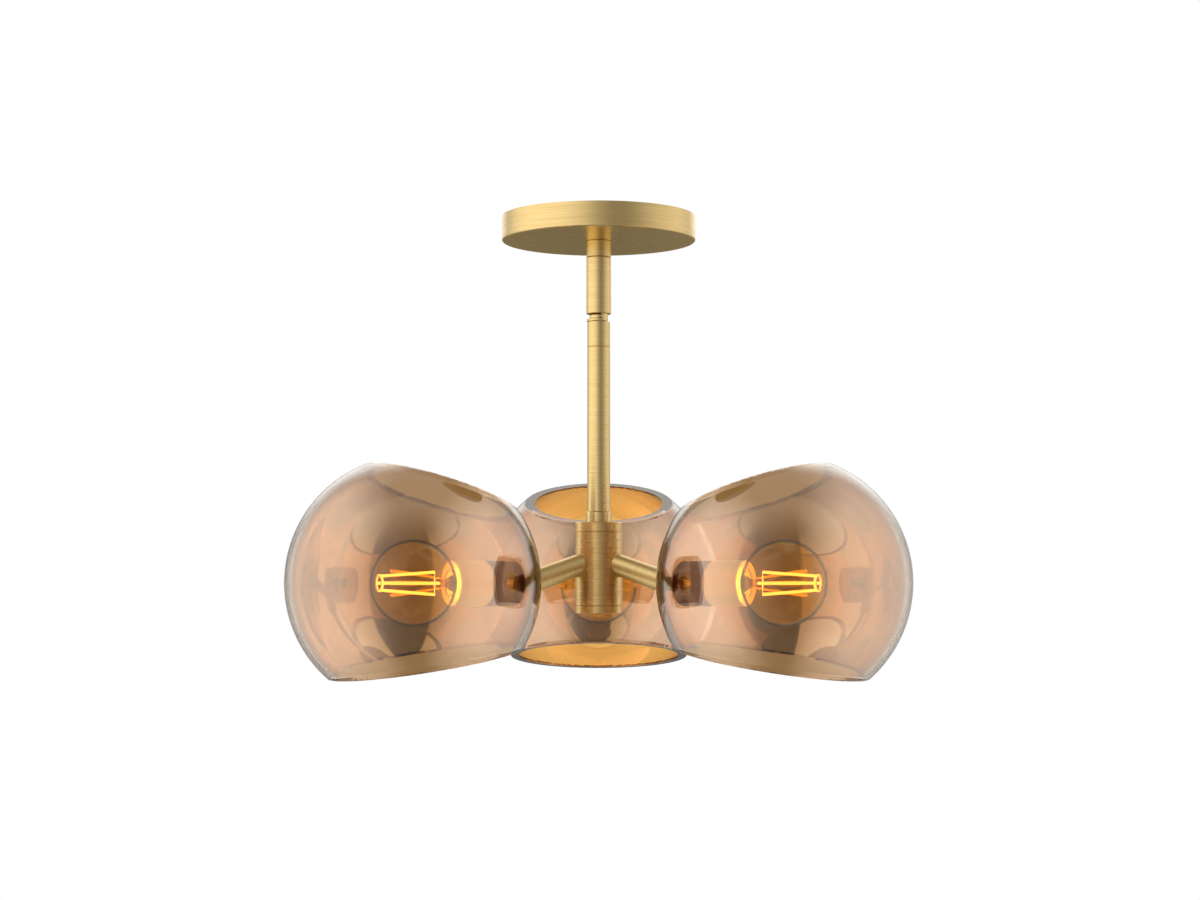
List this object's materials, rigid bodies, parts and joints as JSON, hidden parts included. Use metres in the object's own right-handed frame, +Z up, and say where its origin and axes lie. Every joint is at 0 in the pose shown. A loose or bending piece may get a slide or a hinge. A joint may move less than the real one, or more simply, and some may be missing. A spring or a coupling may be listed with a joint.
{
  "type": "pendant light",
  "caption": "Semi-flush ceiling light: round canopy, short stem with a hang-straight swivel, hub and arms that each carry an open copper-toned glass globe and bulb.",
  "frame": {"origin": "centre of the canopy in the ceiling plane, midway between the outlet box screws", "axes": "+Z up into the ceiling, +X along the mounting bar, the third arm points along +Y"},
  "size_m": [0.372, 0.3425, 0.2895],
  "materials": {
    "brushed_brass": "lathe-brushed satin brass under clear lacquer",
    "zinc_steel": "zinc-plated steel",
    "ground_green": "green dyed steel screw",
    "copper_glass": "clear blown glass with a thin see-through copper mirror coat",
    "clear_glass": "clear thin bulb glass",
    "silicone": "translucent silicone sheet",
    "porcelain": "glazed white porcelain",
    "contact_brass": "plain rolled contact brass",
    "nickel_shell": "nickel-plated rolled shell",
    "nickel_wire": "bare nickel wire",
    "lit_filament": "yellow phosphor coat, lit",
    "black_glass": "black glass insulator with a soldered tip"
  },
  "bodies": {
    "ceiling_fixing": {"canopy": "brushed_brass", "mounting_bar": "zinc_steel", "bar_nut": "zinc_steel", "ground_screw": "ground_green", "canopy_nipple": "zinc_steel", "canopy_collar": "brushed_brass", "sleeve_nut": "zinc_steel"},
    "swivel_head": {"swivel_sleeve": "brushed_brass", "upper_knuckle": "brushed_brass", "pivot_pin": "zinc_steel"},
    "light": {"lower_knuckle": "brushed_brass", "stem_coupling": "brushed_brass", "stem_joiner": "zinc_steel", "stem_inserts": "zinc_steel", "stem_tube": "brushed_brass", "hub_collar": "brushed_brass", "hub_top_cap": "brushed_brass", "hub_body": "brushed_brass", "hub_bottom_cap": "brushed_brass", "hub_nipple": "zinc_steel", "hub_nut": "zinc_steel", "arm_left": "brushed_brass", "arm_right": "brushed_brass", "arm_back": "brushed_brass", "arm_plugs": "zinc_steel", "shade_left": "copper_glass", "shade_right": "copper_glass", "shade_back": "copper_glass", "outer_gaskets": "silicone", "inner_gaskets": "silicone", "socket_nipples": "zinc_steel", "cup_nuts": "zinc_steel", "socket_cup_left": "brushed_brass", "socket_cup_right": "brushed_brass", "socket_cup_back": "brushed_brass", "lampholder_left": "porcelain", "lampholder_right": "porcelain", "lampholder_back": "porcelain", "screw_shells": "contact_brass", "spring_contacts": "contact_brass"},
    "eyelet_left": {"bulb_eyelet_left": "black_glass"},
    "bulb_left": {"bulb_globe_left": "clear_glass", "bulb_mount_left": "clear_glass", "bulb_leads_left": "nickel_wire", "filaments_left": "lit_filament", "bulb_base_left": "nickel_shell"},
    "eyelet_right": {"bulb_eyelet_right": "black_glass"},
    "bulb_right": {"bulb_globe_right": "clear_glass", "bulb_mount_right": "clear_glass", "bulb_leads_right": "nickel_wire", "filaments_right": "lit_filament", "bulb_base_right": "nickel_shell"},
    "eyelet_back": {"bulb_eyelet_back": "black_glass"},
    "bulb_back": {"bulb_globe_back": "clear_glass", "bulb_mount_back": "clear_glass", "bulb_leads_back": "nickel_wire", "filaments_back": "lit_filament", "bulb_base_back": "nickel_shell"}
  },
  "joints": [
    {"name": "swivel_turn", "type": "hinge", "parent": "ceiling_fixing", "child": "swivel_head", "pos_m": [0, 0, -0.0253], "axis": [0, 0, 1], "range_deg": [-175, 175]},
    {"name": "swivel_tilt", "type": "hinge", "parent": "swivel_head", "child": "light", "pos_m": [0, 0, -0.0626], "axis": [1, 0, 0], "range_deg": [-20, 20]},
    {"name": "bulb_left_advance", "type": "slide", "parent": "light", "child": "eyelet_left", "axis": [-0.866, -0.5, 0], "range_m": [0, 0.01016]},
    {"name": "bulb_left_unscrew", "type": "hinge", "parent": "eyelet_left", "child": "bulb_left", "pos_m": [-0.10999, -0.0635, -0.22778], "axis": [-0.866, -0.5, 0], "range_deg": [0, 1440]},
    {"name": "bulb_right_advance", "type": "slide", "parent": "light", "child": "eyelet_right", "axis": [0.866, -0.5, 0], "range_m": [0, 0.01016]},
    {"name": "bulb_right_unscrew", "type": "hinge", "parent": "eyelet_right", "child": "bulb_right", "pos_m": [0.10999, -0.0635, -0.22778], "axis": [0.866, -0.5, 0], "range_deg": [0, 1440]},
    {"name": "bulb_back_advance", "type": "slide", "parent": "light", "child": "eyelet_back", "axis": [0, 1, 0], "range_m": [0, 0.01016]},
    {"name": "bulb_back_unscrew", "type": "hinge", "parent": "eyelet_back", "child": "bulb_back", "pos_m": [0, 0.127, -0.22778], "axis": [0, 1, 0], "range_deg": [0, 1440]}
  ],
  "couplings": [
    {"joint": "bulb_left_advance", "follows": "bulb_left_unscrew", "m_per_rad": 0.00040425},
    {"joint": "bulb_right_advance", "follows": "bulb_right_unscrew", "m_per_rad": 0.00040425},
    {"joint": "bulb_back_advance", "follows": "bulb_back_unscrew", "m_per_rad": 0.00040425}
  ]
}
